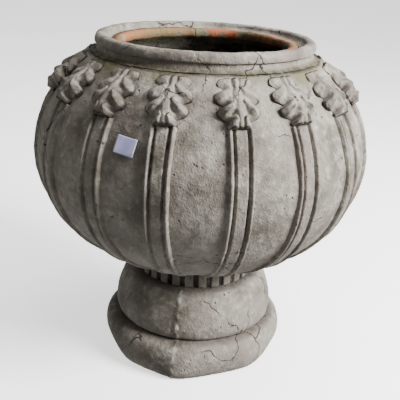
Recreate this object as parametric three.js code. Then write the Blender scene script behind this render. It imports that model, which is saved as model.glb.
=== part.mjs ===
// Footed garden vase in grey-washed terracotta: a hollow bowl with a turned collar, set by
// a tenon in a slotted neck ring on a hollow two-part foot. Leaves and reed bundles are
// pressed separately and stuck on round the bowl.
// Millimetres, +Z up, origin at the middle of the base, front towards -Y.

import * as THREE from 'three';

// Fit between neighbouring pieces
const CLEARANCE = 0.3;

// Lower foot: a soft octagon at the floor that turns round at its bulge
const PLINTH_HEIGHT = 36.5;
const PLINTH_BASE_RADIUS = 87.5;
const PLINTH_BULGE_RADIUS = 94;
const PLINTH_BULGE_HEIGHT = 22;
const PLINTH_SEAT_RADIUS = 79.5;
const PLINTH_WALL = 20;
const PLINTH_SIDES = 8;
const PLINTH_CORNER = 3;
const PLINTH_FLOOR_EDGE = 1;
const PLINTH_SHOULDER_SWELL = 3;
const PLINTH_SHOULDER_RISE = 1.5;
const SPIGOT_HEIGHT = 6;
const SPIGOT_WALL = 6;

// Mould joint of the foot, a raised seam at front and back
const FOOT_SEAM_AZIMUTH = -10;
const FOOT_SEAM_FLARE = 6;
const FOOT_SEAM_LEFT_SPREAD = 28;
const FOOT_SEAM_RIGHT_SPREAD = 10;

// Upper foot: a bell with a rounded lower lip
const BELL_HEIGHT = 49;
const BELL_UNDER_RADIUS = 78;
const BELL_LIP_RADIUS = 82.5;
const BELL_LIP_HEIGHT = 11;
const BELL_SHOULDER_RADIUS = 78;
const BELL_SHOULDER_HEIGHT = 33;
const BELL_SHOULDER_SLOPE = 4;
const BELL_TOP_RADIUS = 64;
const BELL_TOP_ROUNDING = 2;
const BELL_TOP_PLATE = 16;
const BELL_WALL = 14;

// Neck ring with upright slots
const NECK_HEIGHT = 17;
const NECK_RADIUS = 60;
const NECK_SLOTS = 28;
const NECK_SLOT_WIDTH = 5.5;
const NECK_SLOT_DEPTH = 5;
const NECK_SLOT_AZIMUTH = 2;

// Mortar bed between neck ring and bowl, and the bowl's tenon down into the foot
const BED_THICKNESS = 1.2;
const BED_MARGIN = 6;
const TENON_RADIUS = 38;
const TENON_DEPTH = 32;
const TENON_TAPER = 1.5;

// Bowl: two half superellipses that meet at the widest girth
const BODY_RADIUS = 160;
const BODY_LOWER_DEPTH = 120;
const BODY_UPPER_DEPTH = 129;
const BODY_LOWER_FULLNESS = 2.05;
const BODY_UPPER_FULLNESS = 1.92;
const BODY_SEAT_RADIUS = 61;
const BODY_WALL = 13;
const BODY_FLOOR = 12;
const SHOULDER_RADIUS = 108.5;
const MOUTH_RADIUS = 78;
const MOUTH_WALL = 9.5;
const MOUTH_HEIGHT = 11.5;
const MOUTH_ROUNDING = 2;

// Collar: a hollow neck under a rolled lip, with a sunk cove inside the lip
const COLLAR_HEIGHT = 16.6;
const COLLAR_NECK_RADIUS = 102;
const COLLAR_NECK_HEIGHT = 7;
const LIP_RADIUS = 104.6;
const LIP_BULGE_HEIGHT = 9.6;
const LIP_TOP_RADIUS = 99;
const COVE_OUTER_RADIUS = 94;
const COVE_HEIGHT = 10.6;
const COVE_EDGE_ROUNDING = 3;
const COLLAR_FILLET = 1;

// Relief round the bowl: one leaf and one reed bundle in each bay, either side of the
// bowl's own mould seam
const BAYS = 16;
const BODY_SEAM_AZIMUTH = 0.4;
const SEAM_ALLOWANCE = 1.2;

const REED_FOOT_MARGIN = 14;
const REED_WIDTH = 22.5;
const REED_EDGE_WIDTH = 4.4;
const REED_EDGE_HEIGHT = 3.2;
const REED_GROOVE_HEIGHT = 0.9;
const REED_BAND_HEIGHT = 2.6;
const REED_SKIN = 0.6;

const LEAF_DROP = 5;
const LEAF_LENGTH = 45;
const LEAF_HALF_WIDTH = 19;
const LEAF_ROOT_HEIGHT = 3;
const LEAF_TIP_HEIGHT = 6;
const LEAF_EDGE_HEIGHT = 2.2;
const LEAF_RIB_HEIGHT = 1.6;
const LEAF_HOLLOW = 1.4;

// Blank paper label
const LABEL_WIDTH = 18;
const LABEL_HEIGHT = 14.8;
const LABEL_THICKNESS = 0.3;
const LABEL_AZIMUTH = -22.8;
const LABEL_DROP = 20;
const LABEL_TILT = 7;

// Smoothness of the turned pieces and of the reliefs
const BOWL_SIDES = 48;
const FOOT_SIDES = 40;
const BODY_STEPS = 8;
const INSIDE_STEPS = 5;
const CURVE_STEPS = 3;
const RULER_STEPS = 400;
const SLOPE_STEP = 0.01;
const MIN_RING_SPACING = 1;

// Heights that follow from the sizes above
const SEAT_Z = PLINTH_HEIGHT;
const BELL_Z = SEAT_Z + CLEARANCE;
const BELL_TOP_Z = BELL_Z + BELL_HEIGHT;
const NECK_Z = BELL_TOP_Z + CLEARANCE;
const BED_Z = NECK_Z + NECK_HEIGHT + CLEARANCE;
const BOWL_Z = BED_Z + BED_THICKNESS + CLEARANCE;
const TENON_Z = BOWL_Z - TENON_DEPTH;

const BODY_HALVES = {
  lower: { depth: BODY_LOWER_DEPTH, power: 2 / BODY_LOWER_FULLNESS, sign: -1 },
  upper: { depth: BODY_UPPER_DEPTH, power: 2 / BODY_UPPER_FULLNESS, sign: 1 },
};
const GIRTH_Z = BOWL_Z - bodyHeight(BODY_HALVES.lower, bodyAngle(BODY_HALVES.lower, BODY_SEAT_RADIUS));
const SHOULDER_Z = GIRTH_Z + bodyHeight(BODY_HALVES.upper, bodyAngle(BODY_HALVES.upper, SHOULDER_RADIUS));
const MOUTH_OUTER_RADIUS = MOUTH_RADIUS + MOUTH_WALL;
const COLLAR_Z = SHOULDER_Z + CLEARANCE;

const washedClay = { color: 0x8d857d, roughness: 0.93, metalness: 0 };
const paleClay = { color: 0x9b948b, roughness: 0.92, metalness: 0 };
const mortar = { color: 0x8a8672, roughness: 0.97, metalness: 0 };
const paper = { color: 0xa7abc6, roughness: 0.7, metalness: 0 };

// The body's parameter angle, 0 at the girth and 90 degrees on the axis, for a radius
function bodyAngle(half, radius, girthRadius = BODY_RADIUS) {
  return Math.acos(Math.pow(radius / girthRadius, 1 / half.power));
}

// Height above the girth for a parameter angle, below it in the lower half
function bodyHeight(half, angle, inset = 0) {
  return half.sign * (half.depth - inset) * Math.pow(Math.sin(angle), half.power);
}

// A point of the body's outer curve as radius and height; turn runs from -90 to +90 degrees
function bodyPoint(turn) {
  const half = turn < 0 ? BODY_HALVES.lower : BODY_HALVES.upper;
  const angle = Math.abs(turn);
  const radius = BODY_RADIUS * Math.pow(Math.cos(angle), half.power);
  return new THREE.Vector2(radius, GIRTH_Z + bodyHeight(half, angle));
}

// Length along the body's curve, from the axis below to each of many turns
function bodyRuler(steps) {
  const marks = [{ turn: -Math.PI / 2, length: 0 }];
  let last = bodyPoint(-Math.PI / 2);
  for (let i = 1; i <= steps; i++) {
    const turn = -Math.PI / 2 + Math.PI * i / steps;
    const point = bodyPoint(turn);
    marks.push({ turn, length: marks[i - 1].length + point.distanceTo(last) });
    last = point;
  }
  return marks;
}

// Reads one column of the ruler for a value of the other
function readRuler(ruler, known, wanted, value) {
  const next = Math.max(1, ruler.findIndex((mark) => mark[known] >= value));
  const [a, b] = [ruler[next - 1], ruler[next]];
  return THREE.MathUtils.mapLinear(value, a[known], b[known], a[wanted], b[wanted]);
}

const RULER = bodyRuler(RULER_STEPS);
const SEAT_TURN = -bodyAngle(BODY_HALVES.lower, BODY_SEAT_RADIUS);
const SHOULDER_TURN = bodyAngle(BODY_HALVES.upper, SHOULDER_RADIUS);
const turnAt = (length) => readRuler(RULER, 'length', 'turn', length);
const lengthAt = (turn) => readRuler(RULER, 'turn', 'length', turn);

// The turns at which the bowl's wall has its rings, from the seat up to the shoulder
const WALL_TURNS = [
  ...Array.from({ length: BODY_STEPS }, (_, i) => SEAT_TURN * (1 - i / BODY_STEPS)),
  ...Array.from({ length: BODY_STEPS + 1 }, (_, i) => SHOULDER_TURN * i / BODY_STEPS),
];

// Where the reliefs start and stop, as lengths along the body's curve
const LEAF_START = lengthAt(SHOULDER_TURN) - LEAF_DROP;
const LEAF_END = LEAF_START - LEAF_LENGTH;
const REED_START = LEAF_END - CLEARANCE;
const REED_END = lengthAt(SEAT_TURN) + REED_FOOT_MARGIN;

// A point that stands `height` off the body's surface, `across` millimetres round the
// girth from the azimuth and `length` along the curve
function onBody(azimuth, across, length, height) {
  const turn = turnAt(length);
  const point = bodyPoint(turn);
  const above = bodyPoint(Math.min(turn + SLOPE_STEP, Math.PI / 2));
  const ahead = above.sub(bodyPoint(turn - SLOPE_STEP)).normalize();
  const radius = point.x + ahead.y * height;
  const z = point.y - ahead.x * height;
  const angle = THREE.MathUtils.degToRad(azimuth) + across / point.x;
  return new THREE.Vector3(radius * Math.sin(angle), -radius * Math.cos(angle), z);
}

// A ring of points as a flat outline, seen from the end that `forward` points to
function flatOutline(ring, forward) {
  const right = new THREE.Vector3(-forward.y, forward.x, 0).normalize();
  const up = new THREE.Vector3().crossVectors(forward, right);
  return ring.map((point) => new THREE.Vector2(point.dot(right), point.dot(up)));
}

// A closed solid from a row of rings with as many points each: walls between the rings and
// a flat end on the first and the last
function loft(rings) {
  const forward = rings.at(-1)[0].clone().sub(rings[0][0]).normalize();
  const turnedBack = THREE.ShapeUtils.isClockWise(flatOutline(rings[0], forward));
  const sections = turnedBack ? rings.map((ring) => [...ring].reverse()) : rings;
  const count = sections[0].length;
  const last = (sections.length - 1) * count;
  const index = [];
  for (let first = 0; first < last; first += count) {
    for (let k = 0; k < count; k++) {
      const [a, b] = [first + k, first + (k + 1) % count];
      index.push(a, b, b + count, a, b + count, a + count);
    }
  }
  for (const [a, b, c] of THREE.ShapeUtils.triangulateShape(flatOutline(sections[0], forward), [])) {
    index.push(a, c, b);
  }
  for (const [a, b, c] of THREE.ShapeUtils.triangulateShape(flatOutline(sections.at(-1), forward), [])) {
    index.push(last + a, last + b, last + c);
  }
  const geometry = new THREE.BufferGeometry().setFromPoints(sections.flat());
  geometry.setIndex(index);
  geometry.computeVertexNormals();
  return geometry;
}

// A turned solid from a drawn path of radius and height
function turned(path, sides) {
  return new THREE.LatheGeometry(path.getPoints(CURVE_STEPS), sides).rotateX(Math.PI / 2);
}

function named(name, geometry, finish) {
  const mesh = new THREE.Mesh(geometry, new THREE.MeshStandardMaterial(finish));
  mesh.name = name;
  return mesh;
}

// How far the foot's outline stands out from round at an azimuth, at the floor
function footOutline(azimuth) {
  const side = 2 * Math.PI / PLINTH_SIDES;
  const seam = THREE.MathUtils.degToRad(FOOT_SEAM_AZIMUTH);
  const corner = PLINTH_CORNER * Math.cos(azimuth / side * 2 * Math.PI) / 2;
  const fromSeam = Math.asin(Math.sin(azimuth - seam));
  const spread = THREE.MathUtils.degToRad(fromSeam < 0 ? FOOT_SEAM_LEFT_SPREAD : FOOT_SEAM_RIGHT_SPREAD);
  return corner + FOOT_SEAM_FLARE * Math.exp(-Math.pow(fromSeam / spread, 2));
}

function buildPlinth() {
  const bore = BELL_UNDER_RADIUS - BELL_WALL - CLEARANCE;
  const path = new THREE.Path();
  path.moveTo(PLINTH_BASE_RADIUS - PLINTH_WALL, 0);
  path.lineTo(PLINTH_BASE_RADIUS - PLINTH_FLOOR_EDGE, 0);
  path.quadraticCurveTo(
    PLINTH_BULGE_RADIUS, PLINTH_BULGE_HEIGHT / 3,
    PLINTH_BULGE_RADIUS, PLINTH_BULGE_HEIGHT,
  );
  const shoulder = (PLINTH_BULGE_RADIUS + 2 * PLINTH_SEAT_RADIUS) / 3 + PLINTH_SHOULDER_SWELL;
  path.bezierCurveTo(
    PLINTH_BULGE_RADIUS, (PLINTH_BULGE_HEIGHT + 2 * PLINTH_HEIGHT) / 3,
    shoulder, PLINTH_HEIGHT + PLINTH_SHOULDER_RISE,
    PLINTH_SEAT_RADIUS, PLINTH_HEIGHT,
  );
  path.lineTo(bore, SEAT_Z);
  path.lineTo(bore, SEAT_Z + SPIGOT_HEIGHT);
  path.lineTo(bore - SPIGOT_WALL, SEAT_Z + SPIGOT_HEIGHT);
  path.lineTo(bore - SPIGOT_WALL, SEAT_Z - SPIGOT_HEIGHT);
  path.closePath();
  const geometry = turned(path, FOOT_SIDES);
  const middleOfWall = PLINTH_BASE_RADIUS - PLINTH_WALL / 2;
  const position = geometry.attributes.position;
  for (let i = 0; i < position.count; i++) {
    const [x, y, z] = [position.getX(i), position.getY(i), position.getZ(i)];
    const radius = Math.hypot(x, y);
    const low = 1 - THREE.MathUtils.smoothstep(z, 0, SEAT_Z);
    const grow = 1 + low * footOutline(Math.atan2(x, -y)) / radius;
    if (radius > middleOfWall) position.setXY(i, x * grow, y * grow);
  }
  return named('foot_plinth', geometry, washedClay);
}

function buildBell() {
  const bore = BELL_UNDER_RADIUS - BELL_WALL;
  const socket = TENON_RADIUS + CLEARANCE;
  const plateZ = BELL_TOP_Z - BELL_TOP_PLATE;
  const lipZ = BELL_Z + BELL_LIP_HEIGHT;
  const shoulderZ = BELL_Z + BELL_SHOULDER_HEIGHT;
  const path = new THREE.Path();
  path.moveTo(bore, BELL_Z);
  path.lineTo(BELL_UNDER_RADIUS, BELL_Z);
  path.quadraticCurveTo(BELL_LIP_RADIUS, BELL_Z + BELL_LIP_HEIGHT / 4, BELL_LIP_RADIUS, lipZ);
  path.quadraticCurveTo(BELL_LIP_RADIUS, (lipZ + shoulderZ) / 2, BELL_SHOULDER_RADIUS, shoulderZ);
  path.quadraticCurveTo(
    BELL_SHOULDER_RADIUS - BELL_SHOULDER_SLOPE, BELL_TOP_Z - BELL_TOP_ROUNDING,
    BELL_TOP_RADIUS, BELL_TOP_Z,
  );
  path.lineTo(socket, BELL_TOP_Z);
  path.lineTo(socket, plateZ);
  path.lineTo(bore - BELL_WALL / 2, plateZ);
  path.lineTo(bore, plateZ - BELL_WALL);
  path.closePath();
  return named('foot_bell', turned(path, FOOT_SIDES), paleClay);
}

function buildNeckRing() {
  const shape = new THREE.Shape();
  const pitch = 2 * Math.PI / NECK_SLOTS;
  const root = NECK_RADIUS - NECK_SLOT_DEPTH;
  const halfSlot = NECK_SLOT_WIDTH / 2 / NECK_RADIUS;
  const first = THREE.MathUtils.degToRad(NECK_SLOT_AZIMUTH - 90);
  const corner = (radius, angle) => new THREE.Vector2(radius * Math.cos(angle), radius * Math.sin(angle));
  const outline = [];
  for (let k = 0; k < NECK_SLOTS; k++) {
    const middle = first + k * pitch;
    outline.push(
      corner(NECK_RADIUS, middle - halfSlot),
      corner(root, middle - halfSlot * NECK_RADIUS / root),
      corner(root, middle + halfSlot * NECK_RADIUS / root),
      corner(NECK_RADIUS, middle + halfSlot),
    );
  }
  shape.setFromPoints(outline);
  const socket = new THREE.Path();
  socket.absarc(0, 0, TENON_RADIUS + CLEARANCE, 0, 2 * Math.PI, true);
  shape.holes.push(socket);
  const settings = { depth: NECK_HEIGHT, bevelEnabled: false, curveSegments: FOOT_SIDES / 2 };
  const geometry = new THREE.ExtrudeGeometry(shape, settings);
  geometry.translate(0, 0, NECK_Z);
  return named('neck_ring', geometry, paleClay);
}

function buildMortarBed() {
  const path = new THREE.Path();
  path.moveTo(TENON_RADIUS + CLEARANCE, BED_Z);
  path.lineTo(NECK_RADIUS - BED_MARGIN, BED_Z);
  path.lineTo(NECK_RADIUS - BED_MARGIN, BED_Z + BED_THICKNESS);
  path.lineTo(TENON_RADIUS + CLEARANCE, BED_Z + BED_THICKNESS);
  path.closePath();
  return named('mortar_bed', turned(path, FOOT_SIDES), mortar);
}

function buildBowl() {
  const points = [new THREE.Vector2(0, TENON_Z)];
  points.push(new THREE.Vector2(TENON_RADIUS - TENON_TAPER, TENON_Z));
  points.push(new THREE.Vector2(TENON_RADIUS, BOWL_Z));
  points.push(...WALL_TURNS.map(bodyPoint));
  const mouthZ = SHOULDER_Z + MOUTH_HEIGHT;
  points.push(new THREE.Vector2(MOUTH_OUTER_RADIUS, SHOULDER_Z));
  points.push(new THREE.Vector2(MOUTH_OUTER_RADIUS, mouthZ));
  points.push(new THREE.Vector2(MOUTH_RADIUS + MOUTH_ROUNDING, mouthZ));
  points.push(new THREE.Vector2(MOUTH_RADIUS, mouthZ - MOUTH_ROUNDING));
  points.push(...insideCurve());
  const geometry = new THREE.LatheGeometry(points, BOWL_SIDES).rotateX(Math.PI / 2);
  return named('bowl', geometry, washedClay);
}

// The inside of the bowl from under the mouth down to the middle of the floor
function insideCurve() {
  const girth = BODY_RADIUS - BODY_WALL;
  const { upper } = BODY_HALVES;
  const from = bodyAngle(upper, MOUTH_RADIUS, girth);
  const floorZ = BOWL_Z + BODY_FLOOR;
  const points = [];
  for (let i = 0; i < INSIDE_STEPS; i++) {
    const angle = from * (1 - i / INSIDE_STEPS);
    const radius = girth * Math.pow(Math.cos(angle), upper.power);
    points.push(new THREE.Vector2(radius, GIRTH_Z + bodyHeight(upper, angle, BODY_WALL)));
  }
  for (let i = 0; i <= INSIDE_STEPS; i++) {
    const angle = Math.PI / 2 * i / INSIDE_STEPS;
    points.push(new THREE.Vector2(girth * Math.cos(angle), GIRTH_Z - (GIRTH_Z - floorZ) * Math.sin(angle)));
  }
  points[points.length - 1].x = 0;
  return points;
}

function buildCollar() {
  const bore = MOUTH_OUTER_RADIUS + CLEARANCE;
  const topZ = COLLAR_Z + COLLAR_HEIGHT;
  const neckZ = COLLAR_Z + COLLAR_NECK_HEIGHT;
  const bulgeZ = COLLAR_Z + LIP_BULGE_HEIGHT;
  const coveZ = COLLAR_Z + COVE_HEIGHT;
  const path = new THREE.Path();
  path.moveTo(bore, COLLAR_Z);
  path.lineTo(SHOULDER_RADIUS, COLLAR_Z);
  path.quadraticCurveTo(COLLAR_NECK_RADIUS, COLLAR_Z + COLLAR_FILLET, COLLAR_NECK_RADIUS, neckZ);
  path.quadraticCurveTo(LIP_RADIUS, neckZ, LIP_RADIUS, bulgeZ);
  path.quadraticCurveTo(LIP_RADIUS, topZ, LIP_TOP_RADIUS, topZ);
  path.quadraticCurveTo(COVE_OUTER_RADIUS, topZ, COVE_OUTER_RADIUS, topZ - COVE_EDGE_ROUNDING);
  path.quadraticCurveTo(COVE_OUTER_RADIUS - COLLAR_FILLET, coveZ, bore, coveZ);
  path.closePath();
  return named('rim_collar', turned(path, BOWL_SIDES), paleClay);
}

function bayAzimuth(bay) {
  const pitch = (360 - 4 * SEAM_ALLOWANCE) / BAYS;
  const half = Math.floor(bay / (BAYS / 2));
  return BODY_SEAM_AZIMUTH + (bay + 0.5) * pitch + (2 * half + 1) * SEAM_ALLOWANCE;
}

// Relief heights across a reed bundle: bead, groove, broad band, groove, bead
function reedSection() {
  const half = REED_WIDTH / 2;
  const bead = half - REED_EDGE_WIDTH / 2;
  const groove = half - REED_EDGE_WIDTH;
  const left = [[-half, REED_SKIN], [-bead, REED_EDGE_HEIGHT], [-groove, REED_GROOVE_HEIGHT]];
  const right = left.map(([x, h]) => [-x, h]).reverse();
  return [...left, [0, REED_BAND_HEIGHT], ...right].map(([x, h]) => ({ x, height: h + CLEARANCE }));
}

function buildReeds(bay) {
  const azimuth = bayAzimuth(bay);
  const front = reedSection();
  const back = [1, 0, -1].map((side) => ({ x: side * REED_WIDTH / 2, height: CLEARANCE }));
  const outline = [...front, ...back];
  const [low, high] = [REED_END + MIN_RING_SPACING, REED_START - MIN_RING_SPACING];
  const between = WALL_TURNS.map(lengthAt).filter((length) => length > low && length < high);
  const lengths = [REED_END, ...between, REED_START];
  const section = (length) => outline.map(({ x, height }) => onBody(azimuth, x, length, height));
  const sections = lengths.map(section);
  return named(`reeds_${String(bay + 1).padStart(2, '0')}`, loft(sections), paleClay);
}

// The leaf's outline from stem to tip: lobes stand out to the full half width at most, and
// notches fall back between them
const LEAF_ROWS = [
  { along: 0, width: 0.34 }, { along: 0.12, width: 0.5 }, { along: 0.2, width: 0.8 },
  { along: 0.31, width: 0.84 }, { along: 0.37, width: 0.6 }, { along: 0.46, width: 0.94 },
  { along: 0.58, width: 1 }, { along: 0.65, width: 0.68 }, { along: 0.74, width: 0.8 },
  { along: 0.85, width: 0.74 }, { along: 0.94, width: 0.5 }, { along: 1, width: 0.3 },
];

function leafHeight(along, across) {
  const body = THREE.MathUtils.lerp(LEAF_ROOT_HEIGHT, LEAF_TIP_HEIGHT, Math.sin(along * Math.PI / 2) ** 2);
  const rib = LEAF_RIB_HEIGHT * (across === 0 ? 1 : 0);
  const hollow = LEAF_HOLLOW * (Math.abs(across) === 0.5 ? 1 : 0);
  const edge = LEAF_EDGE_HEIGHT + (body - LEAF_EDGE_HEIGHT) * (1 - across ** 2);
  return edge + rib - hollow;
}

function buildLeaf(bay) {
  const azimuth = bayAzimuth(bay);
  const front = [-1, -0.5, 0, 0.5, 1];
  const back = [...front].reverse();
  const sections = LEAF_ROWS.map(({ along, width }) => {
    const length = THREE.MathUtils.lerp(LEAF_START, LEAF_END, along);
    const reach = width * LEAF_HALF_WIDTH;
    const at = (across, height) => onBody(azimuth, across * reach, length, height + CLEARANCE);
    const face = front.map((across) => at(across, leafHeight(along, across)));
    return [...face, ...back.map((across) => at(across, 0))];
  });
  return named(`leaf_${String(bay + 1).padStart(2, '0')}`, loft(sections), paleClay);
}

function buildLabel() {
  const middle = LEAF_END - LABEL_DROP;
  const tilt = THREE.MathUtils.degToRad(LABEL_TILT);
  const at = (x, y, height) => {
    const across = x * Math.cos(tilt) + y * Math.sin(tilt);
    const along = y * Math.cos(tilt) - x * Math.sin(tilt);
    return onBody(LABEL_AZIMUTH, across, middle + along, height + CLEARANCE);
  };
  const half = LABEL_WIDTH / 2;
  const columns = [-half, -half / 3, half / 3, half];
  const outline = [
    ...columns.map((x) => ({ x, height: LABEL_THICKNESS })),
    ...columns.reverse().map((x) => ({ x, height: 0 })),
  ];
  const rows = [1, 0, -1].map((step) => step * LABEL_HEIGHT / 2);
  const sections = rows.map((y) => outline.map(({ x, height }) => at(x, y, height)));
  return named('price_label', loft(sections), paper);
}

const foot = new THREE.Group();
foot.add(buildPlinth(), buildBell(), buildNeckRing(), buildMortarBed());

const vessel = new THREE.Group();
vessel.add(buildBowl(), buildCollar(), buildLabel());

const relief = new THREE.Group();
for (let bay = 0; bay < BAYS; bay++) relief.add(buildLeaf(bay), buildReeds(bay));

const vase = new THREE.Group();
vase.add(foot, vessel, relief);

export default vase;
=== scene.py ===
"""Footed garden vase in weathered, grey-washed terracotta, dressed piece by piece."""

import logging
import math
import random
from dataclasses import dataclass
from enum import Enum
from typing import Callable, Sequence

import bmesh
import bpy
from mathutils import Matrix, Vector, noise


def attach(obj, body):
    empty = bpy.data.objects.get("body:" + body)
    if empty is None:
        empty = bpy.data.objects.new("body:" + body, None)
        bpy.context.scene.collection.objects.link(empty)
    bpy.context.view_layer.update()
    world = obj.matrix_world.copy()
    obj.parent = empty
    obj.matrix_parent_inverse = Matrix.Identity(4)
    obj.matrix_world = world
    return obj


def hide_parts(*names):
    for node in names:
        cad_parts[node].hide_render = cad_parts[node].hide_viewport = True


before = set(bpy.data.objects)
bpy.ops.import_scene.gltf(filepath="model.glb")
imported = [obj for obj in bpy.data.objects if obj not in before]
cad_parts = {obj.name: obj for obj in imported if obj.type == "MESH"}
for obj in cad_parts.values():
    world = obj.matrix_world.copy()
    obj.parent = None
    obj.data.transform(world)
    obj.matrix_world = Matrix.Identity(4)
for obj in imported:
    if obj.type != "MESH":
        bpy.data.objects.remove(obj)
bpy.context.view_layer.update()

log = logging.getLogger("vase")

BODY = "root"
MM = 0.001

JOINT = 0.3 * MM
PLINTH_TOP = 36.5 * MM
BELL_BOTTOM = PLINTH_TOP + JOINT
BELL_TOP = BELL_BOTTOM + 49 * MM
NECK_BOTTOM = BELL_TOP + JOINT
NECK_TOP = NECK_BOTTOM + 17 * MM
BED_BOTTOM = NECK_TOP + JOINT
BED_TOP = BED_BOTTOM + 1.2 * MM
BOWL_SEAT = BED_TOP + JOINT
TENON_BORE = 38.3 * MM

Colour = tuple[float, float, float, float]
Paint = Callable[[Vector], float]


def tone(red: int, green: int, blue: int) -> Colour:
    """Turns a screen colour into the linear colour that a shader takes.

    Args:
        red: Red from 0 to 255.
        green: Green from 0 to 255.
        blue: Blue from 0 to 255.

    Returns:
        Linear red, green, blue and an alpha of 1.
    """
    def linear(value: int) -> float:
        share = value / 255
        return share / 12.92 if share <= 0.04045 else ((share + 0.055) / 1.055) ** 2.4

    return (linear(red), linear(green), linear(blue), 1.0)


def smooth(value: float, low: float, high: float) -> float:
    """A soft step from 0 at low to 1 at high."""
    share = min(max((value - low) / (high - low), 0.0), 1.0)
    return share * share * (3 - 2 * share)


def azimuth_of(point: Vector) -> float:
    """Degrees round the vase, 0 at the front and growing to the right."""
    return math.degrees(math.atan2(point.x, -point.y))


def turn_between(first: float, second: float) -> float:
    """The signed difference of two azimuths in degrees, from -180 to 180."""
    return (first - second + 180) % 360 - 180


# Shader helpers


class Term:
    """A shader value that takes part in plain arithmetic."""

    def __init__(self, sheet: "Sheet", socket: bpy.types.NodeSocket) -> None:
        """Keeps the socket and the sheet of nodes that it stands on."""
        self.sheet = sheet
        self.socket = socket

    def _math(self, operation: str, first: object, second: object) -> "Term":
        """Adds one Math node and returns its value."""
        node = self.sheet.node("ShaderNodeMath", {"operation": operation}, {0: first, 1: second})
        return Term(self.sheet, node.outputs[0])

    def __add__(self, other: object) -> "Term":
        """This value plus another."""
        return self._math("ADD", self, other)

    def __radd__(self, other: object) -> "Term":
        """Another value plus this."""
        return self._math("ADD", other, self)

    def __sub__(self, other: object) -> "Term":
        """This value less another."""
        return self._math("SUBTRACT", self, other)

    def __rsub__(self, other: object) -> "Term":
        """Another value less this."""
        return self._math("SUBTRACT", other, self)

    def __mul__(self, other: object) -> "Term":
        """This value times another."""
        return self._math("MULTIPLY", self, other)

    def __rmul__(self, other: object) -> "Term":
        """Another value times this."""
        return self._math("MULTIPLY", other, self)

    def highest(self, other: object) -> "Term":
        """The larger of this value and another."""
        return self._math("MAXIMUM", self, other)

    def step(self, low: float, high: float) -> "Term":
        """A soft step from 0 where this value is low to 1 where it is high."""
        node = self.sheet.node(
            "ShaderNodeMapRange",
            {"interpolation_type": "SMOOTHSTEP"},
            {"Value": self, "From Min": low, "From Max": high},
        )
        return Term(self.sheet, node.outputs["Result"])


class Sheet:
    """The nodes of one material."""

    def __init__(self, name: str) -> None:
        """Starts a material with an empty sheet of nodes.

        Args:
            name: The material's name.
        """
        self.material = bpy.data.materials.new(name)
        self.material.use_nodes = True
        self.tree = self.material.node_tree
        self.tree.nodes.clear()

    def node(self, kind: str, settings: dict[str, object], inputs: dict) -> bpy.types.Node:
        """Adds a node, sets it up and fills or links its sockets.

        Args:
            kind: The node's type name.
            settings: Values of the node itself; "stops" are a ramp's places and colours.
            inputs: Values, Terms or sockets by input name or number.

        Returns:
            The new node.
        """
        node = self.tree.nodes.new(kind)
        for key, value in settings.items():
            if key == "stops":
                self._stops(node.color_ramp, value)
            else:
                setattr(node, key, value)
        for key, value in inputs.items():
            if isinstance(value, Term):
                self.tree.links.new(value.socket, node.inputs[key])
            elif isinstance(value, bpy.types.NodeSocket):
                self.tree.links.new(value, node.inputs[key])
            else:
                node.inputs[key].default_value = value
        return node

    @staticmethod
    def _stops(ramp: bpy.types.ColorRamp, stops: Sequence[tuple[float, Colour]]) -> None:
        """Gives a ramp its places and colours."""
        while len(ramp.elements) < len(stops):
            ramp.elements.new(1.0)
        for element, (place, colour) in zip(ramp.elements, stops):
            element.position = place
            element.color = colour

    def place(self, stretch: tuple[float, float, float] = (1, 1, 1)) -> bpy.types.NodeSocket:
        """Object coordinates, stretched along each axis."""
        coordinates = self.node("ShaderNodeTexCoord", {}, {})
        mapping = self.node(
            "ShaderNodeMapping", {}, {"Vector": coordinates.outputs["Object"], "Scale": stretch}
        )
        return mapping.outputs["Vector"]

    def cloud(self, place: bpy.types.NodeSocket, scale: float, detail: float = 4) -> Term:
        """Soft noise.

        Args:
            place: Where on the piece it is read.
            scale: Cycles per metre.
            detail: How many finer layers it has.

        Returns:
            The noise, from 0 to 1.
        """
        node = self.node(
            "ShaderNodeTexNoise", {}, {"Vector": place, "Scale": scale, "Detail": detail, "Roughness": 0.6}
        )
        return Term(self, node.outputs["Fac"])

    def cells(self, place: bpy.types.NodeSocket, scale: float) -> Term:
        """Distance to the nearest of many scattered points, with scale cells in a metre."""
        node = self.node("ShaderNodeTexVoronoi", {}, {"Vector": place, "Scale": scale})
        return Term(self, node.outputs["Distance"])

    def painted(self, name: str) -> Term:
        """A value that was painted on the piece's points."""
        node = self.node("ShaderNodeAttribute", {"attribute_name": name}, {})
        return Term(self, node.outputs["Fac"])

    def blend(self, first: object, second: object, share: Term | float) -> bpy.types.NodeSocket:
        """Mixes two colours.

        Args:
            first: The colour or socket where share is 0.
            second: The colour or socket where share is 1.
            share: How much of the second shows.

        Returns:
            The colour socket of the mix.
        """
        node = self.node("ShaderNodeMix", {"data_type": "RGBA"}, {0: share, 6: first, 7: second})
        return node.outputs[2]

    def surface(
        self, colour: object, roughness: Term | float, height: Term, depth: float, glow: float = 0.0
    ) -> bpy.types.Material:
        """Closes the sheet with a matt shader.

        Args:
            colour: Base colour.
            roughness: Roughness.
            height: Height of the fine relief, 0 to 1.
            depth: How deep that relief is, in metres.
            glow: Strength of a light of the same colour, 0 for none.

        Returns:
            The finished material.
        """
        bump = self.node("ShaderNodeBump", {}, {"Height": height, "Distance": depth, "Strength": 1.0})
        shader = self.node(
            "ShaderNodeBsdfPrincipled",
            {},
            {
                "Base Color": colour,
                "Roughness": roughness,
                "Normal": bump.outputs["Normal"],
                "Specular IOR Level": 0.25,
                "Emission Color": colour,
                "Emission Strength": glow,
            },
        )
        self.node("ShaderNodeOutputMaterial", {}, {"Surface": shader.outputs[0]})
        return self.material


# Finishes


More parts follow.
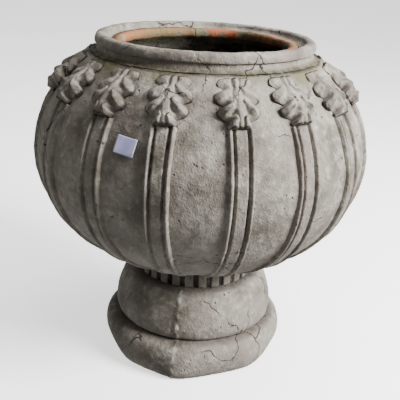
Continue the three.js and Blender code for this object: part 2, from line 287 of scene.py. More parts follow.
@dataclass(frozen=True)
class WashedClay:
    """Terracotta under an old grey wash, with dirt, painted shade in its hollows, moss and bare clay."""

    name: str
    pale: Colour = tone(158, 153, 143)
    middle: Colour = tone(118, 112, 103)
    shade: Colour = tone(80, 74, 66)
    mauve: Colour = tone(112, 98, 95)
    olive: Colour = tone(90, 88, 62)
    # Dark colour for dirt, pits and cracks, and for painted shade in hollows and under overhangs.
    dirt_and_shade: Colour = tone(30, 24, 20)
    clay: Colour = tone(150, 84, 52)
    lime: Colour = tone(160, 158, 148)
    relief_depth: float = 3.5 * MM
    pits_per_metre: float = 150
    crack_cells: float = 21
    crack_noise: float = 42
    crack_wander: float = 0.028

    def material(self) -> bpy.types.Material:
        """Builds the wash from broad tints, painted shade and dirt in the hollows and a pitted skin."""
        sheet = Sheet(self.name)
        place = sheet.place()
        broad = sheet.cloud(place, 11, 5)
        patch = sheet.cloud(place, 34, 6)
        fine = sheet.cloud(place, 170, 5)
        grain = sheet.cloud(place, 620, 3)
        streak = sheet.cloud(sheet.place((1, 1, 0.16)), 55, 5)
        tint = sheet.cloud(sheet.place((1.3, 1, 1)), 19, 4)
        cavity = sheet.painted("cavity")
        moss = sheet.painted("moss")
        bare = sheet.painted("bare")
        limed = sheet.painted("lime")

        colour = sheet.blend(self.shade, self.middle, (broad * 0.5 + patch * 0.5).step(0.36, 0.56))
        colour = sheet.blend(colour, self.pale, (patch * 0.4 + fine * 0.6).step(0.46, 0.72) * 0.75)
        colour = sheet.blend(colour, self.mauve, tint.step(0.5, 0.68) * 0.45)
        colour = sheet.blend(colour, self.olive, streak.step(0.56, 0.74) * 0.35)
        colour = sheet.blend(colour, self.lime, (limed * 1.6 * (0.4 + patch)).step(0.35, 0.85))
        colour = sheet.blend(colour, self.clay, (bare * (0.55 + patch)).step(0.45, 0.75))
        colour = sheet.blend(colour, self.olive, (moss * (0.5 + fine)).step(0.35, 0.8) * 0.85)
        spots = (0.22 - sheet.cells(place, self.pits_per_metre)).step(0.0, 0.14) * patch.step(0.52, 0.62)
        cracks = self._cracks(sheet, broad)
        # Painted shade and dirt: the cavity mark darkens hollows, creases and places under overhangs, and
        # pits and cracks join it.
        shade_and_dirt = (cavity * (0.55 + fine * 0.9)).step(0.25, 0.8).highest(spots * 0.8).highest(cracks)
        colour = sheet.blend(colour, self.dirt_and_shade, shade_and_dirt * 0.9)

        relief = patch * 0.35 + fine * 0.4 + grain * 0.2 - spots * 0.35 - cracks * 0.5
        return sheet.surface(colour, 0.84 + 0.12 * fine, relief, self.relief_depth)

    def _cracks(self, sheet: Sheet, broad: Term) -> Term:
        """Thin wandering cracks in some stretches of the skin, from 0 to 1.

        Args:
            sheet: The material's sheet.
            broad: Broad noise that says where the skin has cracked.

        Returns:
            1 inside a crack and 0 away from one.
        """
        place = sheet.place((1, 1, 0.8))
        wander = sheet.node(
            "ShaderNodeTexNoise", {}, {"Vector": place, "Scale": self.crack_noise, "Detail": 4}
        )
        shift = sheet.node(
            "ShaderNodeVectorMath",
            {"operation": "SCALE"},
            {0: wander.outputs["Color"], 3: self.crack_wander},
        )
        moved = sheet.node("ShaderNodeVectorMath", {"operation": "ADD"}, {0: place, 1: shift.outputs[0]})
        edges = sheet.node(
            "ShaderNodeTexVoronoi",
            {"feature": "DISTANCE_TO_EDGE"},
            {"Vector": moved.outputs[0], "Scale": self.crack_cells},
        )
        near = 1 - Term(sheet, edges.outputs["Distance"]).step(0.004, 0.015)
        return near * broad.step(0.5, 0.6) * 0.9


@dataclass(frozen=True)
class BlankPaper:
    """A small lilac paper label, faded and without any writing."""

    name: str
    paper: Colour = tone(150, 152, 190)
    faded: Colour = tone(176, 174, 196)

    def material(self) -> bpy.types.Material:
        """Builds paper with faint fibres and faded patches."""
        sheet = Sheet(self.name)
        place = sheet.place()
        fibre = sheet.cloud(place, 900, 3)
        wash = sheet.cloud(place, 90, 3)
        colour = sheet.blend(self.paper, self.faded, wash.step(0.4, 0.65))
        return sheet.surface(colour, 0.75, fibre, 0.0003)


@dataclass(frozen=True)
class PaleFloor:
    """A plain white studio floor."""

    name: str
    white: Colour = (0.86, 0.86, 0.855, 1.0)

    def material(self) -> bpy.types.Material:
        """Builds an even white surface."""
        sheet = Sheet(self.name)
        grain = sheet.cloud(sheet.place(), 40, 2)
        return sheet.surface(self.white, 0.9, grain, 0.0, glow=1.5)


# Shaping helpers


def bend(start: tuple, pull: tuple, end: tuple, steps: int = 6) -> list[Vector]:
    """Points of a curve that leaves start towards pull and comes into end.

    Args:
        start: Radius and height where it starts.
        pull: Radius and height that it bends towards.
        end: Radius and height where it ends.
        steps: How many points after the first.

    Returns:
        The points after the start, as radius, 0 and height.
    """
    points = []
    for i in range(1, steps + 1):
        t = i / steps
        pair = [(1 - t) ** 2 * a + 2 * t * (1 - t) * b + t * t * c for a, b, c in zip(start, pull, end)]
        points.append(Vector((pair[0], 0, pair[1])))
    return points


def refined(points: Sequence[Vector], spacing: float, closed: bool) -> list[Vector]:
    """Adds points to a profile until none are further apart than the spacing.

    Args:
        points: The profile's own points.
        spacing: The widest gap allowed, in metres.
        closed: True where the last point joins the first.

    Returns:
        The old points and the new ones between them, in order.
    """
    ring = list(points) + ([points[0]] if closed else [])
    dense = [ring[0]]
    for start, end in zip(ring, ring[1:]):
        pieces = max(1, math.ceil((end - start).length / spacing))
        dense.extend(start.lerp(end, k / pieces) for k in range(1, pieces + 1))
    return dense[:-1] if closed else dense


def spun(profile: Sequence[Vector], steps: int, closed: bool) -> bmesh.types.BMesh:
    """Turns a profile round the upright axis.

    Args:
        profile: Points as radius, 0 and height.
        steps: Columns in the full turn.
        closed: True for a ring's section, False for a profile that starts and ends on the axis.

    Returns:
        A closed mesh with its faces outwards.
    """
    shape = bmesh.new()
    verts = [shape.verts.new(point) for point in profile]
    pairs = list(zip(verts, verts[1:])) + ([(verts[-1], verts[0])] if closed else [])
    edges = [shape.edges.new(pair) for pair in pairs]
    bmesh.ops.spin(
        shape, geom=verts + edges, cent=(0, 0, 0), axis=(0, 0, 1), dvec=(0, 0, 0),
        angle=2 * math.pi, steps=steps, use_merge=True, use_normal_flip=False, use_duplicate=False,
    )
    bmesh.ops.remove_doubles(shape, verts=shape.verts, dist=1e-6)
    bmesh.ops.recalc_face_normals(shape, faces=shape.faces)
    return shape


def ring_section(bore: float, radius: float, bottom: float, top: float) -> list[Vector]:
    """The four corners of a plain ring's section.

    Args:
        bore: Inner radius.
        radius: Outer radius.
        bottom: Height of the lower face.
        top: Height of the upper face.

    Returns:
        The corners as radius, 0 and height.
    """
    corners = ((bore, bottom), (radius, bottom), (radius, top), (bore, top))
    return [Vector((across, 0, height)) for across, height in corners]


def weather(shape: bmesh.types.BMesh, depth: Paint) -> None:
    """Moves every point along its normal, and never below the floor.

    Args:
        shape: The shape to wear down.
        depth: How far out a place moves, in metres.
    """
    shape.normal_update()
    moves = [(vert, vert.normal * depth(vert.co)) for vert in shape.verts]
    for vert, move in moves:
        vert.co += move
        vert.co.z = max(vert.co.z, 0.0)


def paint(shape: bmesh.types.BMesh, name: str, value: Paint) -> None:
    """Stores a value on every point of a shape.

    Args:
        shape: The shape to mark.
        name: The name that a finish reads the value under.
        value: The value at a place, from 0 to 1.
    """
    layer = shape.verts.layers.float.new(name)
    for vert in shape.verts:
        vert[layer] = value(vert.co)


def hollows(shape: bmesh.types.BMesh, reach: int, gain: float) -> list[float]:
    """How deep each point lies below its neighbourhood, from 0 to 1.

    Args:
        shape: The shape to measure.
        reach: Rounds of smoothing that make the neighbourhood.
        gain: Multiplier from metres to the result.

    Returns:
        One value for each point, in order.
    """
    shape.verts.ensure_lookup_table()
    shape.normal_update()
    before = [vert.co.copy() for vert in shape.verts]
    normals = [vert.normal.copy() for vert in shape.verts]
    for _ in range(reach):
        bmesh.ops.smooth_vert(
            shape, verts=shape.verts, factor=0.5, use_axis_x=True, use_axis_y=True, use_axis_z=True
        )
    depths = []
    for vert, start, normal in zip(shape.verts, before, normals):
        depths.append(min(max((vert.co - start).dot(normal) * gain, 0.0), 1.0))
    for vert, start in zip(shape.verts, before):
        vert.co = start
    return depths


def paint_hollows(shape: bmesh.types.BMesh, extra: Paint, reach: int = 6, gain: float = 1400.0) -> None:
    """Stores the cavity value, painted shade and dirt: the shape's own hollows and whatever is added to them.

    Args:
        shape: The shape to mark.
        extra: More painted shade and dirt by place, from 0 to 1.
        reach: Rounds of smoothing that make the neighbourhood.
        gain: Multiplier from metres of depth to the value.
    """
    # Painted shade and dirt: deeper hollows get a higher cavity value, which the finish darkens.
    depths = hollows(shape, reach, gain)
    layer = shape.verts.layers.float.new("cavity")
    for vert, depth in zip(shape.verts, depths):
        vert[layer] = min(depth + extra(vert.co), 1.0)


def finished(shape: bmesh.types.BMesh, name: str, material: bpy.types.Material) -> bpy.types.Object:
    """Turns a shape into a smooth, named object with its material.

    Args:
        shape: The shape, which is used up.
        name: The piece's name.
        material: The piece's finish.

    Returns:
        The new object at the origin.
    """
    for face in shape.faces:
        face.smooth = True
    mesh = bpy.data.meshes.new(name)
    shape.to_mesh(mesh)
    shape.free()
    mesh.materials.append(material)
    piece = bpy.data.objects.new(name, mesh)
    bpy.context.scene.collection.objects.link(piece)
    return piece


def stand_for(piece: bpy.types.Object, node: str) -> None:
    """Puts a piece in the place of one node of the solid model.

    Args:
        piece: The finished piece.
        node: The node's name.
    """
    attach(piece, BODY)
    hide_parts(node)
    log.info("%s stands for %s with %d faces", piece.name, node, len(piece.data.polygons))


def rumple(point: Vector, size: float, seed: float = 0.0) -> float:
    """Smooth noise from about -1 to 1 whose lumps are of the size given in metres."""
    return noise.noise(point / size + Vector((seed, seed * 0.7, -seed)))


# The vase's curve


@dataclass(frozen=True)
class BodyCurve:
    """The bowl's outer curve: two half superellipses that meet at the girth."""

    radius: float = 160 * MM
    lower_depth: float = 120 * MM
    upper_depth: float = 129 * MM
    lower_power: float = 2 / 2.05
    upper_power: float = 2 / 1.92
    seat_radius: float = 61 * MM
    shoulder_radius: float = 108.5 * MM
    seat_height: float = BOWL_SEAT

    def angle(self, power: float, radius: float) -> float:
        """Parameter angle of a radius in the half with this power."""
        return math.acos((radius / self.radius) ** (1 / power))

    @property
    def girth_height(self) -> float:
        """Height of the widest place."""
        turn = self.angle(self.lower_power, self.seat_radius)
        return self.seat_height + self.lower_depth * math.sin(turn) ** self.lower_power

    @property
    def seat_turn(self) -> float:
        """Turn at the seat, below the girth."""
        return -self.angle(self.lower_power, self.seat_radius)

    @property
    def shoulder_turn(self) -> float:
        """Turn at the shoulder, above the girth."""
        return self.angle(self.upper_power, self.shoulder_radius)

    @property
    def shoulder_height(self) -> float:
        """Height of the shoulder's edge, where the collar starts."""
        return self.point(self.shoulder_turn).z

    def point(self, turn: float) -> Vector:
        """Radius, 0 and height of the curve at a turn from -90 to 90 degrees."""
        below = turn < 0
        power = self.lower_power if below else self.upper_power
        depth = -self.lower_depth if below else self.upper_depth
        radius = self.radius * math.cos(abs(turn)) ** power
        return Vector((radius, 0, self.girth_height + depth * math.sin(abs(turn)) ** power))

    def radius_at(self, height: float) -> float:
        """Radius of the curve at a height, 0 above and below it."""
        below = height <= self.girth_height
        power = self.lower_power if below else self.upper_power
        depth = self.lower_depth if below else self.upper_depth
        share = min(abs(height - self.girth_height) / depth, 1.0)
        return self.radius * (1 - share ** (2 / power)) ** (power / 2)

    def ruler(self, steps: int = 600) -> list[tuple[float, float]]:
        """Length along the curve and turn, from the seat to the shoulder."""
        marks = [(0.0, self.seat_turn)]
        last = self.point(self.seat_turn)
        for i in range(1, steps + 1):
            turn = self.seat_turn + (self.shoulder_turn - self.seat_turn) * i / steps
            point = self.point(turn)
            marks.append((marks[-1][0] + (point - last).length, turn))
            last = point
        return marks


CURVE = BodyCurve()
RULER = CURVE.ruler()
CURVE_LENGTH = RULER[-1][0]


def on_body(azimuth: float, across: float, length: float, height: float) -> Vector:
    """A point that stands off the bowl's surface.

    Args:
        azimuth: Degrees round the vase of the bay's middle.
        across: Metres to the right of it, round the surface.
        length: Metres along the curve from the seat.
        height: Metres off the surface.

    Returns:
        The point in the vase's frame.
    """
    share = min(max(length / CURVE_LENGTH, 0.0), 1.0) * (len(RULER) - 1)
    low, high = 0, len(RULER) - 1
    while high - low > 1:
        middle = (low + high) // 2
        low, high = (middle, high) if RULER[middle][0] <= length else (low, middle)
    (l0, t0), (l1, t1) = RULER[low], RULER[high]
    turn = t0 + (t1 - t0) * (length - l0) / (l1 - l0)
    point = CURVE.point(turn)
    ahead = (CURVE.point(turn + 0.01) - CURVE.point(turn - 0.01)).normalized()
    angle = math.radians(azimuth) + across / point.x
    radius = point.x + ahead.z * height
    return Vector((radius * math.sin(angle), -radius * math.cos(angle), point.z - ahead.x * height))


# Sub-assemblies


@dataclass
class Foot:
    """The hollow two-part foot with its slotted neck ring and mortar."""

    finish: WashedClay
    columns: int = 360
    spacing: float = 1.6 * MM
    sides: int = 8
    corner: float = 1.5 * MM
    seam: float = -10.0
    seam_flare: float = 6 * MM
    seam_spread_left: float = 28.0
    seam_spread_right: float = 10.0
    ridge_width: float = 3.2 * MM
    plinth_bore: float = 63.7 * MM
    bell_bore: float = 64 * MM
    neck_radius: float = 60 * MM
    slots: int = 28
    slot_depth: float = 5 * MM
    first_slot: float = 2.0
    mortared_slots: tuple[int, int] = (1, 3)

    def outline(self, azimuth: float) -> float:
        """How far the floor line stands out from round, in metres."""
        corner = self.corner * math.cos(math.radians(azimuth * self.sides))
        from_seam = math.degrees(math.asin(math.sin(math.radians(azimuth - self.seam))))
        spread = self.seam_spread_left if from_seam < 0 else self.seam_spread_right
        return corner + self.seam_flare * math.exp(-((from_seam / spread) ** 2))

    def seam_ridge(self, point: Vector) -> float:
        """The crumbly mould joint that stands up at front and back, from 0 to 1."""
        from_seam = math.asin(math.sin(math.radians(azimuth_of(point) - self.seam)))
        reach = from_seam * math.hypot(point.x, point.y)
        return math.exp(-((reach / self.ridge_width) ** 2))

    def wear(self, point: Vector) -> float:
        """Weathering of the foot's surface, in metres."""
        seam = self.seam_ridge(point) * (0.6 + 1.1 * rumple(point, 4 * MM, 3.0)) * MM
        return seam + (0.5 * rumple(point, 14 * MM) + 0.22 * rumple(point, 4.5 * MM)) * MM

    def build(self) -> None:
        """Makes and dresses the plinth, the bell, the neck ring and the mortar bed."""
        clay = self.finish.material()
        self._plinth(clay)
        self._bell(clay)
        self._neck(clay)
        self._bed(clay)

    def _dress(self, shape: bmesh.types.BMesh, shade_and_dirt: Paint, bare: Paint) -> None:
        """Paints the marks that the finish reads."""
        paint_hollows(shape, shade_and_dirt)
        paint(shape, "moss", lambda p: 0.0)
        paint(shape, "bare", bare)
        paint(shape, "lime", lambda p: self.seam_ridge(p) * (0.45 + 0.5 * rumple(p, 7 * MM, 5.0)))

    def _plinth(self, clay: bpy.types.Material) -> None:
        """The soft octagonal lower foot."""
        base, bulge, seat, top = 86.5 * MM, 94 * MM, 79.5 * MM, PLINTH_TOP
        bulge_height, bulge_pull = 22 * MM, 7.3 * MM
        inner, bore, spigot = 67.5 * MM, self.plinth_bore, 6 * MM
        outside = seat - 2 * MM
        profile = [Vector((inner, 0, 0)), Vector((base, 0, 0))]
        profile += bend((base, 0), (bulge, bulge_pull), (bulge, bulge_height), 10)
        profile += bend((bulge, bulge_height), (bulge - 1 * MM, top - 1 * MM), (seat, top), 10)
        profile += [Vector((bore, 0, top)), Vector((bore, 0, top + spigot))]
        profile += [Vector((bore - spigot, 0, top + spigot)), Vector((bore - spigot, 0, top - spigot))]
        shape = spun(refined(profile, self.spacing, True), self.columns, True)
        for vert in shape.verts:
            radius = math.hypot(vert.co.x, vert.co.y)
            if radius > outside:
                low = 1 - smooth(vert.co.z, 0, top)
                grow = 1 + low * self.outline(azimuth_of(vert.co)) / radius
                vert.co.x *= grow
                vert.co.y *= grow
        weather(shape, self.wear)
        self._dress(
            shape,
            # Painted shade at the plinth's top, in the groove under the bell's lip, and darker towards the
            # bottom.
            lambda p: 0.55 * smooth(p.z, 30 * MM, 37 * MM) + 0.2 * (1 - smooth(p.z, 0, 8 * MM)),
            lambda p: 0.75 * (1 - smooth(p.z, 2 * MM, 6 * MM)) * (0.5 + rumple(p, 12 * MM)),
        )
        stand_for(finished(shape, "plinth", clay), "foot_plinth")

    def _bell(self, clay: bpy.types.Material) -> None:
        """The bell-shaped upper foot."""
        z, top = BELL_BOTTOM, BELL_TOP
        bore, under, lip, shoulder, ledge = self.bell_bore, 78 * MM, 82.5 * MM, 78 * MM, 64 * MM
        lip_height, shoulder_height = 11 * MM, 33 * MM
        plate, cone, cone_end = 16 * MM, 30 * MM, 57 * MM
        profile = [Vector((bore, 0, z)), Vector((under, 0, z))]
        profile += bend((under, z), (lip, z + lip_height / 4), (lip, z + lip_height), 8)
        profile += bend((lip, z + lip_height), (lip, z + 2 * lip_height), (shoulder, z + shoulder_height), 10)
        profile += bend((shoulder, z + shoulder_height), (shoulder - 4 * MM, top - 2 * MM), (ledge, top), 10)
        profile += [Vector((TENON_BORE, 0, top)), Vector((TENON_BORE, 0, top - plate))]
        profile += [Vector((cone_end, 0, top - plate)), Vector((bore, 0, top - cone))]
        shape = spun(refined(profile, self.spacing, True), self.columns, True)
        weather(shape, self.wear)
        self._dress(
            shape,
            # Painted shade at the bell's foot, in the groove over the plinth, and at its top, under the bowl.
            lambda p: 0.8 * (1 - smooth(p.z, z, z + 4 * MM)) + 0.5 * smooth(p.z, top - 6 * MM, top),
            lambda p: 0.0,
        )
        stand_for(finished(shape, "bell", clay), "foot_bell")

    def _neck(self, clay: bpy.types.Material) -> None:
        """The neck ring with its upright slots, some of them full of mortar."""
        radius, pitch = self.neck_radius, 360 / self.slots
        section = ring_section(TENON_BORE, radius, NECK_BOTTOM, NECK_TOP)
        shape = spun(refined(section, 1.2 * MM, True), self.slots * 16, True)
        dice = random.Random(11)
        depths = []
        for number in range(self.slots):
            mortared = number in self.mortared_slots
            depths.append(0.25 if mortared else dice.choice((1.0, 1.0, 0.9, 0.5)))

        def slot(point: Vector) -> float:
            """How far into a slot a point of the wall lies, from 0 to 1."""
            turn = (azimuth_of(point) - self.first_slot) % 360
            number = round(turn / pitch) % self.slots
            reach = abs(turn_between(turn, number * pitch)) * math.radians(radius)
            return depths[number] * (1 - smooth(reach, 1.9 * MM, 3.0 * MM))

        for vert in shape.verts:
            if math.hypot(vert.co.x, vert.co.y) > radius - 1 * MM:
                share = 1 - self.slot_depth * slot(vert.co) / radius
                vert.co.x *= share
                vert.co.y *= share
        weather(shape, self.wear)
        # Painted shade in the slots, deeper ones darker, and over the whole ring under the bowl.
        self._dress(shape, lambda p: 0.95 * slot(p) + 0.35, lambda p: 0.0)
        stand_for(finished(shape, "neck_slots", clay), "neck_ring")

    def _bed(self, clay: bpy.types.Material) -> None:
        """The thin bed of mortar under the bowl."""
        section = ring_section(TENON_BORE, 54 * MM, BED_BOTTOM, BED_TOP)
        shape = spun(refined(section, 2 * MM, True), 120, True)
        # Painted shade over the whole bed, in the gap under the bowl.
        self._dress(shape, lambda p: 0.6, lambda p: 0.0)
        stand_for(finished(shape, "mortar", clay), "mortar_bed")


@dataclass
class Bowl:
    """The hollow bowl and the collar round its mouth."""

    finish: WashedClay
    columns: int = 420
    spacing: float = 8 * MM
    wall: float = 13 * MM
    mouth: float = 78 * MM
    mouth_wall: float = 9.5 * MM
    mouth_height: float = 11.5 * MM
    tenon_length: float = 12.9 * MM
    tenon_edge: float = 1.5 * MM

    def build(self) -> None:
        """Makes and dresses the bowl and the collar."""
        clay = self.finish.material()
        self._shell(clay)
        self._collar(clay)

    def _outside(self, steps: int = 150) -> list[Vector]:
        """The outer curve from the seat up to the shoulder."""
        span = CURVE.shoulder_turn - CURVE.seat_turn
        return [CURVE.point(CURVE.seat_turn + span * i / steps) for i in range(steps + 1)]

    def _inside(self) -> list[Vector]:
        """The inner curve from under the mouth down to the middle of the floor."""
        girth = CURVE.radius - self.wall
        floor = CURVE.seat_height + 12 * MM
        start = math.acos((self.mouth / girth) ** (1 / CURVE.upper_power))
        steps = 24
        points = []
        for i in range(steps):
            angle = start * (1 - i / steps)
            height = (CURVE.upper_depth - self.wall) * math.sin(angle) ** CURVE.upper_power
            radius = girth * math.cos(angle) ** CURVE.upper_power
            points.append(Vector((radius, 0, CURVE.girth_height + height)))
        for i in range(steps + 1):
            angle = math.pi / 2 * i / steps
            drop = (CURVE.girth_height - floor) * math.sin(angle)
            points.append(Vector((girth * math.cos(angle), 0, CURVE.girth_height - drop)))
        points[-1].x = 0
        return points

    def wear(self, point: Vector) -> float:
        """Weathering of the bowl's surface, in metres."""
        lumps = 0.7 * rumple(point, 26 * MM) + 0.45 * rumple(point, 9 * MM) + 0.2 * rumple(point, 4.5 * MM)
        return (lumps - 0.2) * MM

    def _shell(self, clay: bpy.types.Material) -> None:
        """The bowl itself, from its tenon over the wall and the mouth to its inner floor."""
        shoulder = CURVE.shoulder_height
        mouth_outer, top, rounding = self.mouth + self.mouth_wall, shoulder + self.mouth_height, 2 * MM
        tenon, tenon_bottom = TENON_BORE - JOINT, BELL_TOP - self.tenon_length
        profile = [Vector((0, 0, tenon_bottom)), Vector((tenon - self.tenon_edge, 0, tenon_bottom))]
        profile += [Vector((tenon, 0, BOWL_SEAT))] + self._outside()
        profile += [Vector((mouth_outer, 0, shoulder)), Vector((mouth_outer, 0, top))]
        profile += [Vector((self.mouth + rounding, 0, top)), Vector((self.mouth, 0, top - rounding))]
        profile += self._inside()
        shape = spun(refined(profile, self.spacing, False), self.columns, False)
        weather(shape, self.wear)
        # Cavity: painted shade in hollows, in the crease under the collar and inside the bowl.
        paint_hollows(shape, self._shade_under_collar_and_inside)
        paint(shape, "moss", lambda p: smooth(p.z, 292 * MM, 306 * MM) * (0.6 + 0.5 * rumple(p, 40 * MM)))
        paint(shape, "bare", self._bare_clay)
        paint(shape, "lime", lambda p: 0.0)
        stand_for(finished(shape, "bowl_shell", clay), "bowl")

    def _inside_shade(self, point: Vector) -> float:
        """Painted shade on the inside of the bowl, darker deeper down and on the right-hand wall, away from
        the key light.
        """
        radius = math.hypot(point.x, point.y)
        outer = min(CURVE.radius_at(point.z), CURVE.radius)
        if point.z < CURVE.seat_height + 6 * MM or radius > outer - self.wall / 2:
            return 0.0
        # Painted shade: darker deeper down, and darker on the right-hand inside wall, away from the key
        # light.
        deep = 0.35 * (1 - smooth(point.z, 0.24, 0.29))
        return deep + 0.5 * smooth(point.x, -5 * MM, 25 * MM) + 0.25 * rumple(point, 30 * MM)

    def _shade_under_collar_and_inside(self, point: Vector) -> float:
        """Painted shade in the crease under the collar and inside the bowl."""
        shoulder = CURVE.shoulder_height
        # Painted shade in the crease just under the collar.
        under = 0.7 * smooth(point.z, shoulder - 4 * MM, shoulder) * (math.hypot(point.x, point.y) > 0.1)
        return under + self._inside_shade(point)

    def _bare_clay(self, point: Vector) -> float:
        """Where the wash has come off the mouth's edge."""
        if math.hypot(point.x, point.y) > self.mouth + 10 * MM:
            return 0.0
        return smooth(point.z, 300 * MM, 314 * MM) * (0.7 + 0.4 * rumple(point, 14 * MM))

    def _collar(self, clay: bpy.types.Material) -> None:
        """The collar with its rolled lip and sunk cove."""
        z = CURVE.shoulder_height + JOINT
        top, bore = z + 16.6 * MM, self.mouth + self.mouth_wall + JOINT
        neck, lip, crest, cove = 102 * MM, 104.6 * MM, 99 * MM, 94 * MM
        under, bulge, ledge, cove_edge = z + 7 * MM, z + 9.6 * MM, z + 10.6 * MM, top - 3 * MM
        profile = [Vector((bore, 0, z)), Vector((CURVE.shoulder_radius, 0, z))]
        profile += bend((CURVE.shoulder_radius, z), (neck, z + 1 * MM), (neck, under), 6)
        profile += bend((neck, under), (lip, under), (lip, bulge), 5)
        profile += bend((lip, bulge), (lip, top), (crest, top), 8)
        profile += bend((crest, top), (cove, top), (cove, cove_edge), 5)
        profile += bend((cove, cove_edge), (cove - 1 * MM, ledge), (bore, ledge), 5)
        shape = spun(refined(profile, 1.5 * MM, True), self.columns, True)
        weather(shape, lambda p: (0.5 * rumple(p, 12 * MM) + 0.2 * rumple(p, 4 * MM) - 0.2) * MM)
        # Painted shade and dirt in the collar's hollows, and painted shade at its base, in the crease above
        # the bowl.
        paint_hollows(shape, lambda p: 0.45 * (1 - smooth(p.z, z, z + 8 * MM)), gain=900)
        paint(shape, "moss", lambda p: 0.7 * (1 - smooth(p.z, z, z + 8 * MM)))
        paint(shape, "bare", self._bare_clay)
        paint(shape, "lime", lambda p: 0.0)
        stand_for(finished(shape, "collar", clay), "rim_collar")


@dataclass
class Relief:
    """Sixteen leaves with a bundle of reeds under each."""

    finish: WashedClay
    bays: int = 16
    leaf_length: float = 45 * MM
    leaf_half: float = 19 * MM
    leaf_drop: float = 5 * MM
    reed_half: float = 11.25 * MM
    reed_foot: float = 14 * MM
    first_turn: float = 0.4
    seam_gap: float = 1.2
    lobes: float = 3.0
    lobe_sweep: float = 0.55

    def bay(self, number: int) -> float:
        """Azimuth of a bay's middle in degrees, with a gap on each side of both mould seams."""
        pitch = (360 - 4 * self.seam_gap) / self.bays
        half = number // (self.bays // 2)
        return self.first_turn + (number + 0.5) * pitch + (2 * half + 1) * self.seam_gap

    def build(self) -> None:
        """Makes and dresses all leaves and reeds."""
        clay = self.finish.material()
        for number in range(self.bays):
            self._leaf(number, clay)
            self._reeds(number, clay)

    def _tile(self, columns: int, rows: int) -> bmesh.types.BMesh:
        """A flat slab with a grid on both faces, 2 wide, 1 long and 1 deep."""
        shape = bmesh.new()
        bmesh.ops.create_grid(shape, x_segments=columns, y_segments=rows, size=1)
        bmesh.ops.solidify(shape, geom=shape.faces[:], thickness=1)
        return shape

    def _place(self, shape: bmesh.types.BMesh, point: Callable[[float, float, bool], Vector]) -> None:
        """Lays a slab on the bowl.

        Args:
            shape: The flat slab.
            point: The place of a point from its share across, its share along and its face.
        """
        heights = [vert.co.z for vert in shape.verts]
        middle = (max(heights) + min(heights)) / 2
        for vert in shape.verts:
            vert.co = point(vert.co.x, (vert.co.y + 1) / 2, vert.co.z > middle)
        bmesh.ops.recalc_face_normals(shape, faces=shape.faces)

    def _leaf(self, number: int, clay: bpy.types.Material) -> None:
        """One leaf with lobes, a rib and a tip that stands off the bowl."""
        azimuth = self.bay(number)
        start = CURVE_LENGTH - self.leaf_drop
        dice = random.Random(100 + number)
        lean = dice.uniform(-1, 1) * MM


        def between(u: float, v: float) -> float:
            """How deep a point lies in the groove between two lobes, from 0 to 1."""
            wave = 0.5 + 0.5 * math.cos(2 * math.pi * (v * self.lobes - abs(u) * self.lobe_sweep))
            return wave ** 3 * smooth(abs(u), 0.12, 0.4) * smooth(v, 0.05, 0.2)

        def half_width(share: float) -> float:
            """Half of the leaf's width at a share of its length."""
            hull = math.sin(math.pi * (0.16 + 0.76 * share)) ** 0.55
            return self.leaf_half * hull * (1 - 0.42 * between(1.0, share))

        def point(u: float, v: float, front: bool) -> Vector:
            """Where a point of the slab goes on the bowl."""
            share = min(max(v + 0.07 * abs(u) * math.sin(math.pi * v), 0.0), 1.0)
            across = u * half_width(v) + lean * share
            body = (2.2 + 6.3 * smooth(share, 0.1, 0.75) - 2.2 * smooth(share, 0.86, 1.0)) * MM
            edge = 1 - 0.75 * abs(u) ** 4
            pillow = 1 + 0.3 * math.sin(math.pi * abs(u)) - 0.62 * between(u, v)
            rib = 1.1 * MM * math.exp(-((u / 0.09) ** 2))
            groove = 1.2 * MM * math.exp(-(((abs(u) - 0.22) / 0.07) ** 2))
            height = max(body * edge * pillow + rib - groove, 0.4 * MM) if front else -0.5 * MM
            return on_body(azimuth, across, start - share * self.leaf_length, height)

        shape = self._tile(40, 56)
        self._place(shape, point)
        weather(shape, lambda p: (0.55 * rumple(p, 7 * MM, number) + 0.2 * rumple(p, 3 * MM)) * MM)
        # Painted shade and dirt in the grooves between the lobes and beside the rib.
        paint_hollows(shape, lambda p: 0.05, gain=1500)
        paint(shape, "moss", lambda p: 0.0)
        paint(shape, "bare", lambda p: 0.0)
        paint(shape, "lime", lambda p: 0.15)
        name = f"leaf_{number + 1:02d}"
        stand_for(finished(shape, f"carved_{name}", clay), name)

    def _reeds(self, number: int, clay: bpy.types.Material) -> None:
        """One bundle: a bead, a broad band and a bead, running down to the foot."""
        azimuth = self.bay(number)
        high = CURVE_LENGTH - self.leaf_drop - self.leaf_length - JOINT
        low = self.reed_foot

        def point(u: float, v: float, front: bool) -> Vector:
            """Where a point of the slab goes on the bowl."""
            length = low + (high - low) * v
            bead = math.exp(-(((abs(u) - 0.78) / 0.15) ** 4))
            band = 1 - smooth(abs(u), 0.36, 0.5)
            fade = 0.5 + 0.5 * smooth(v, 0, 0.5)
            height = (3.4 * bead + 2.4 * band - 0.3) * fade * MM if front else -1.2 * MM
            if front and abs(u) > 0.97:
                height = -0.8 * MM
            return on_body(azimuth, u * self.reed_half, length, height)

        shape = self._tile(36, 110)
        self._place(shape, point)
        weather(shape, lambda p: (0.45 * rumple(p, 9 * MM) + 0.2 * rumple(p, 3.5 * MM)) * MM)
        # Painted shade and dirt in the grooves between the beads and the band.
        paint_hollows(shape, lambda p: 0.0, gain=1300)
        for mark in ("moss", "bare", "lime"):
            paint(shape, mark, lambda p: 0.0)
        name = f"reeds_{number + 1:02d}"
        stand_for(finished(shape, f"worn_{name}", clay), name)


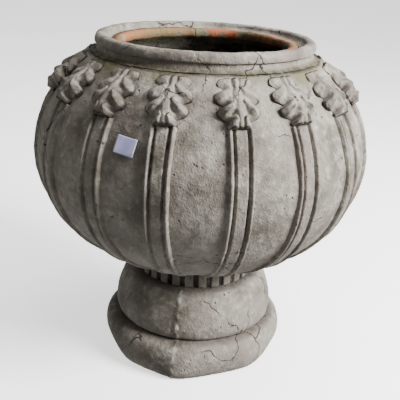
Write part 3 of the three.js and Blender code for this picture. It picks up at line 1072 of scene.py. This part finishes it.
@dataclass
class Label:
    """The small blank paper label on the bowl."""

    finish: BlankPaper
    width: float = 18 * MM
    height: float = 14.8 * MM
    azimuth: float = -22.8
    drop: float = 70 * MM
    tilt: float = 7.0
    stand_off: float = 1.1 * MM
    curl: float = 0.4 * MM

    def build(self) -> None:
        """Makes a thin sheet that follows the bowl."""
        shape = bmesh.new()
        bmesh.ops.create_grid(shape, x_segments=18, y_segments=14, size=1)
        bmesh.ops.solidify(shape, geom=shape.faces[:], thickness=0.001)
        middle = CURVE_LENGTH - self.drop
        tilt = math.radians(self.tilt)
        for vert in shape.verts:
            x, y = vert.co.x * self.width / 2, vert.co.y * self.height / 2
            across = x * math.cos(tilt) + y * math.sin(tilt)
            along = y * math.cos(tilt) - x * math.sin(tilt)
            front = vert.co.z > 0.0005 or vert.co.z == 0
            lift = self.stand_off + self.curl * vert.co.x ** 2 + (JOINT if front else 0)
            vert.co = on_body(self.azimuth, across, middle + along, lift)
        bmesh.ops.recalc_face_normals(shape, faces=shape.faces)
        piece = finished(shape, "blank_label", self.finish.material())
        stand_for(piece, "price_label")


class Side(Enum):
    """Which side of the vase a studio light is for."""

    KEY = "key"
    FILL = "fill"
    TOP = "top"


@dataclass(frozen=True)
class Lamp:
    """A round soft light that faces the vase."""

    side: Side
    place: tuple[float, float, float]
    size: float
    watts: float


@dataclass
class Studio:
    """Pale floor, soft lights and the camera."""

    lamps: tuple[Lamp, ...] = (
        Lamp(Side.KEY, (1.2, -0.5, 0.95), 0.7, 105),
        Lamp(Side.TOP, (0.4, 0.2, 1.5), 1.2, 22),
        Lamp(Side.FILL, (-1.0, -1.0, 0.8), 1.4, 1),
    )
    aim: tuple[float, float, float] = (0, 0, 0.18)
    daylight: float = 0.32

    lens: float = 61.11
    eye: tuple[float, float, float] = (0.002227, -0.65590, 0.41686)
    pitch: float = 0.37774
    roll: float = 0.050375

    def build(self) -> None:
        """Lays the floor, hangs the lights and sets the camera."""
        self._floor()
        for lamp in self.lamps:
            self._light(lamp)
        world = bpy.data.worlds.new("studio")
        world.use_nodes = True
        world.node_tree.nodes["Background"].inputs["Color"].default_value = (1, 1, 1, 1)
        world.node_tree.nodes["Background"].inputs["Strength"].default_value = self.daylight
        bpy.context.scene.world = world
        self._camera()

    def _floor(self) -> None:
        """A wide plain floor that throws no light back up at the vase."""
        shape = bmesh.new()
        bmesh.ops.create_grid(shape, x_segments=1, y_segments=1, size=6)
        floor = finished(shape, "floor", PaleFloor("floor_white").material())
        floor.visible_diffuse = False

    def _light(self, lamp: Lamp) -> None:
        """Hangs one lamp and turns it to the vase."""
        name = f"light_{lamp.side.value}"
        light = bpy.data.lights.new(name, "AREA")
        light.shape = "DISK"
        light.size = lamp.size
        light.energy = lamp.watts
        holder = bpy.data.objects.new(name, light)
        holder.location = lamp.place
        holder.rotation_euler = (Vector(self.aim) - Vector(lamp.place)).to_track_quat("-Z", "Y").to_euler()
        bpy.context.scene.collection.objects.link(holder)

    def _camera(self) -> None:
        """Sets the camera where the vase is seen from."""
        ahead = Vector((0, math.cos(self.pitch), -math.sin(self.pitch)))
        up = Vector((0, math.sin(self.pitch), math.cos(self.pitch)))
        right = Vector((1, 0, 0))
        tilted_right = right * math.cos(self.roll) + up * math.sin(self.roll)
        tilted_up = up * math.cos(self.roll) - right * math.sin(self.roll)
        data = bpy.data.cameras.new("camera")
        data.lens = self.lens
        data.sensor_width = 36
        camera = bpy.data.objects.new("camera", data)
        bpy.context.scene.collection.objects.link(camera)
        axes = Matrix((tilted_right, tilted_up, -ahead)).transposed().to_4x4()
        camera.matrix_world = Matrix.Translation(self.eye) @ axes
        bpy.context.scene.camera = camera


def main() -> None:
    """Builds the vase's parts in order, then the studio round them."""
    logging.basicConfig(level=logging.INFO, format="%(name)s: %(message)s")
    Foot(WashedClay("foot_wash")).build()
    Bowl(WashedClay("bowl_wash")).build()
    Relief(WashedClay("relief_wash")).build()
    Label(BlankPaper("label_paper")).build()
    Studio().build()


if __name__ == "__main__":
    main()
